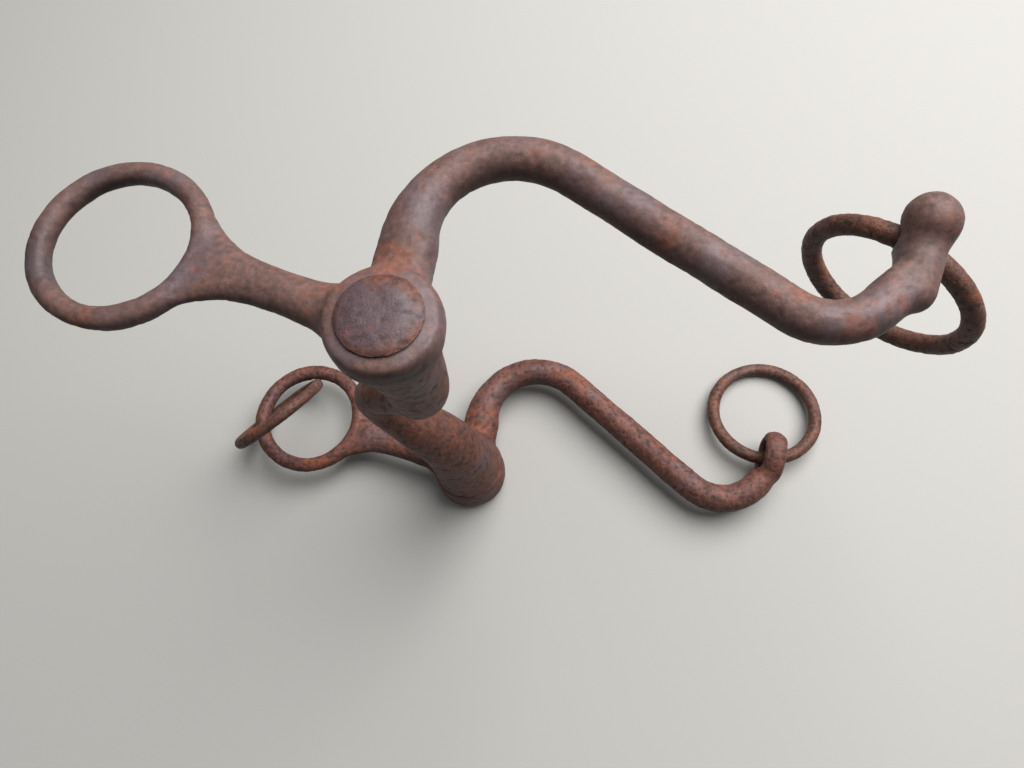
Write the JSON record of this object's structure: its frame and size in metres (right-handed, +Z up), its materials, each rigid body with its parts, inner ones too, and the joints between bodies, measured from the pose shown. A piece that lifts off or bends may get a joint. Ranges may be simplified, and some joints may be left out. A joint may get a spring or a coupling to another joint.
{
  "type": "curb bit",
  "caption": "Forged iron horse bit: S-shaped shanked cheeks riveted to a ported mouthpiece, with loose rein and curb rings.",
  "frame": {"origin": "on the lower tenon's axis, at the flat of the hammered head that the bit stands on", "axes": "+Z up the mouthpiece to the other cheek, +X along the cheeks towards the rein rings, +Y to the hump of the shanks"},
  "size_m": [0.2116, 0.0597, 0.145],
  "materials": {
    "lower_cheek": "matt, pitted red-brown rust",
    "upper_cheek": "matt, smoother purple-brown rust",
    "mouthpiece": "matt, dark brown rust",
    "rings": "matt, red-brown rust with orange patches"
  },
  "bodies": {
    "bit": {"lower_cheek": "lower_cheek", "mouthpiece": "mouthpiece", "upper_cheek": "upper_cheek"},
    "upper_rein_ring": {"upper_rein_ring": "rings"},
    "lower_rein_ring": {"lower_rein_ring": "rings"},
    "curb_ring": {"curb_ring": "rings"}
  },
  "joints": [
    {"name": "upper_rein_ring_swing", "type": "hinge", "parent": "bit", "child": "upper_rein_ring", "pos_m": [0.10586, 0.01136, 0.1335], "axis": [-0.7431, 0.6691, 0], "range_deg": [-240, 80]},
    {"name": "lower_rein_ring_swing", "type": "hinge", "parent": "bit", "child": "lower_rein_ring", "pos_m": [0.10572, 0.00275, 0.00695], "axis": [0.9994, -0.0349, 0], "range_deg": [-145, 145]},
    {"name": "curb_ring_swing", "type": "hinge", "parent": "bit", "child": "curb_ring", "pos_m": [-0.07769, 0.01898, 0.009], "axis": [0.1115, -0.9938, 0], "continuous": true}
  ]
}
